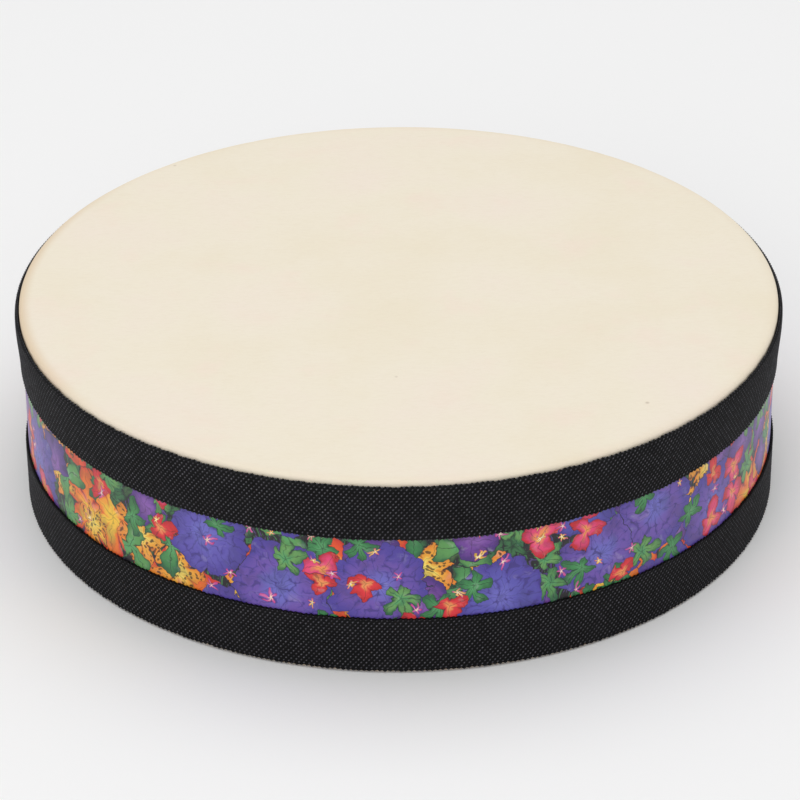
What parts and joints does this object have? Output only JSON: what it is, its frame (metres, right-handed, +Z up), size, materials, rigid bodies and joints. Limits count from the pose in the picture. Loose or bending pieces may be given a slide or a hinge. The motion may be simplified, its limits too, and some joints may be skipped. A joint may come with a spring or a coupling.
{
  "type": "frame drum",
  "caption": "Round single-headed frame drum with a stretched skin head, a bent-ply shell in a printed foliage wrap and black webbing round both edges.",
  "frame": {"origin": "centre of the circle that the open rim rests on", "axes": "+Z up along the drum's axis, from the open rim to the head; -Y is the front and every seam is at the back, towards +Y"},
  "size_m": [0.31, 0.31, 0.084],
  "materials": {
    "face_veneer": "sanded and clear sealed",
    "core_veneer": "sanded edge",
    "crossband_veneer": "sanded edge, end grain",
    "skin": "matt, fine fibrous grain",
    "tack_strip_fibre": "matt vulcanised fibre",
    "staple_wire": "galvanised",
    "printed_sheet": "semi-satin laminated print",
    "webbing": "coarse ribbed weave, low sheen"
  },
  "bodies": {
    "root": {"shell_inner_ply": "face_veneer", "shell_inner_crossband": "crossband_veneer", "shell_core_ply": "core_veneer", "shell_outer_crossband": "crossband_veneer", "shell_outer_ply": "face_veneer", "drumhead": "skin", "head_tack_strip": "tack_strip_fibre", "head_staples": "staple_wire", "printed_wrap": "printed_sheet", "lower_webbing_band": "webbing", "upper_webbing_band": "webbing"}
  },
  "joints": []
}
